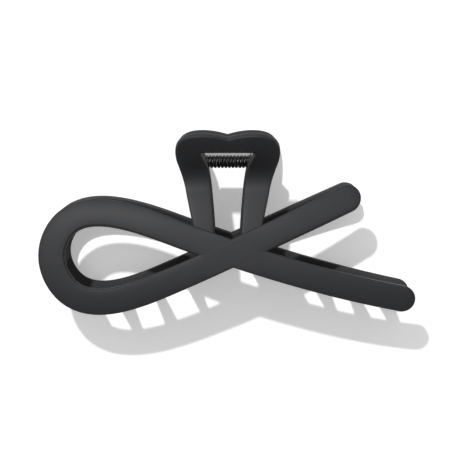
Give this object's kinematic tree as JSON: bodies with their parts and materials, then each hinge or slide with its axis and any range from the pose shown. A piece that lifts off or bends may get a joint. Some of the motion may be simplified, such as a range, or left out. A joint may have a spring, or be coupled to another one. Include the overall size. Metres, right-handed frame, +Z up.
{
  "type": "hair claw clip",
  "caption": "Bow-shaped hair claw clip with two mirrored ribbon jaws, inward teeth, heart-topped squeeze handles and a sprung hinge pin.",
  "frame": {"origin": "centre of the bounding box at the table, with the clip lying on its back jaw", "axes": "+X along the hinge pin from the loops to the tails, +Y from the ribbons towards the handles, +Z up from the table"},
  "size_m": [0.1202, 0.0612, 0.0413],
  "materials": {
    "jaw_plastic": "matte soft-touch black",
    "spring_steel": "black oxide",
    "pin_steel": "bright drawn wire"
  },
  "bodies": {
    "back": {"back_jaw": "jaw_plastic", "hinge_pin": "pin_steel", "torsion_spring": "spring_steel"},
    "front": {"front_jaw": "jaw_plastic"}
  },
  "joints": [
    {"name": "jaw_hinge", "type": "hinge", "parent": "back", "child": "front", "pos_m": [0.00025, 0.01883, 0.01991], "axis": [-1, 0, 0], "range_deg": [0, 75], "stiffness_Nm_per_rad": 0.1, "springref_deg": -45.84, "deforming": ["torsion_spring"]}
  ]
}
